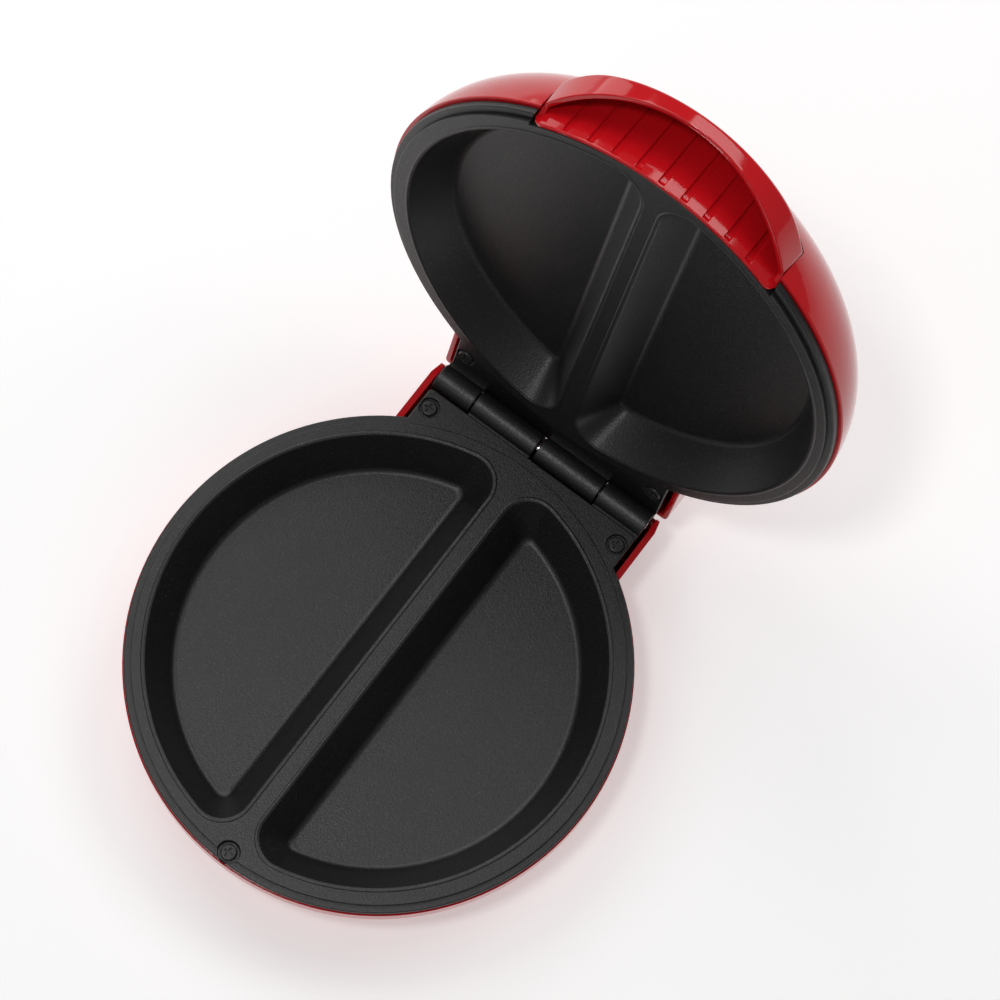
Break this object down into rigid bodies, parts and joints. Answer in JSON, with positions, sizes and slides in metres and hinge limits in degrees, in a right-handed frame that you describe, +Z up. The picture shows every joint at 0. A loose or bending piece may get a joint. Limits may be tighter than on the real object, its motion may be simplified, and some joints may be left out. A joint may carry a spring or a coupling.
{
  "type": "egg cooker",
  "caption": "Round hinged electric omelette cooker with half-moon non-stick pans in base and domed lid, ribbed front grip, shown open.",
  "frame": {"origin": "bottom centre of the part's box with the lid open, on the surface it stands on", "axes": "+Y from the front towards the hinge, +X to the user's right, +Z up"},
  "size_m": [0.193, 0.286, 0.235],
  "materials": {
    "red_shell": "high gloss",
    "nonstick": "satin non-stick coating on cast aluminium, fine speckle",
    "black_screw": "black oxide",
    "zinc_screw": "zinc plated",
    "element_steel": "heat-tinted sheath",
    "strap_steel": "rolled sheet",
    "shield_aluminium": "bright rolled",
    "pin_steel": "polished",
    "rubber": "matt",
    "ceramic_body": "moulded",
    "fuse_body": "glass-fibre sleeve",
    "wire_jacket": "glass-fibre sleeve",
    "red_lens": "translucent",
    "green_lens": "translucent",
    "lamp_glass": "clear",
    "black_plastic": "moulded"
  },
  "bodies": {
    "base": {"lower_housing": "red_shell", "lower_cooking_plate": "nonstick", "lower_plate_screws": "black_screw", "lower_heating_element": "element_steel", "lower_element_strap": "strap_steel", "lower_strap_screws": "zinc_screw", "lower_heat_shield": "shield_aluminium", "thermal_fuse": "fuse_body", "fuse_clip": "strap_steel", "terminal_block": "ceramic_body", "terminal_screws": "zinc_screw", "lower_wiring": "wire_jacket", "cord_grommet": "rubber", "rubber_feet": "rubber", "hinge_pin": "pin_steel"},
    "lid": {"upper_housing": "red_shell", "handle": "red_shell", "handle_screws": "zinc_screw", "upper_cooking_plate": "nonstick", "upper_plate_screws": "black_screw", "upper_heating_element": "element_steel", "upper_element_strap": "strap_steel", "upper_strap_screws": "zinc_screw", "upper_heat_shield": "shield_aluminium", "thermostat": "ceramic_body", "power_lens": "red_lens", "ready_lens": "green_lens", "power_lamp": "lamp_glass", "ready_lamp": "lamp_glass", "lamp_holder": "black_plastic", "lamp_holder_screw": "zinc_screw", "upper_wiring": "wire_jacket"}
  },
  "joints": [
    {"name": "lid_hinge", "type": "hinge", "parent": "base", "child": "lid", "pos_m": [0, 0.05541, 0.03113], "axis": [1, 0, 0], "range_deg": [0, 102.4]}
  ]
}
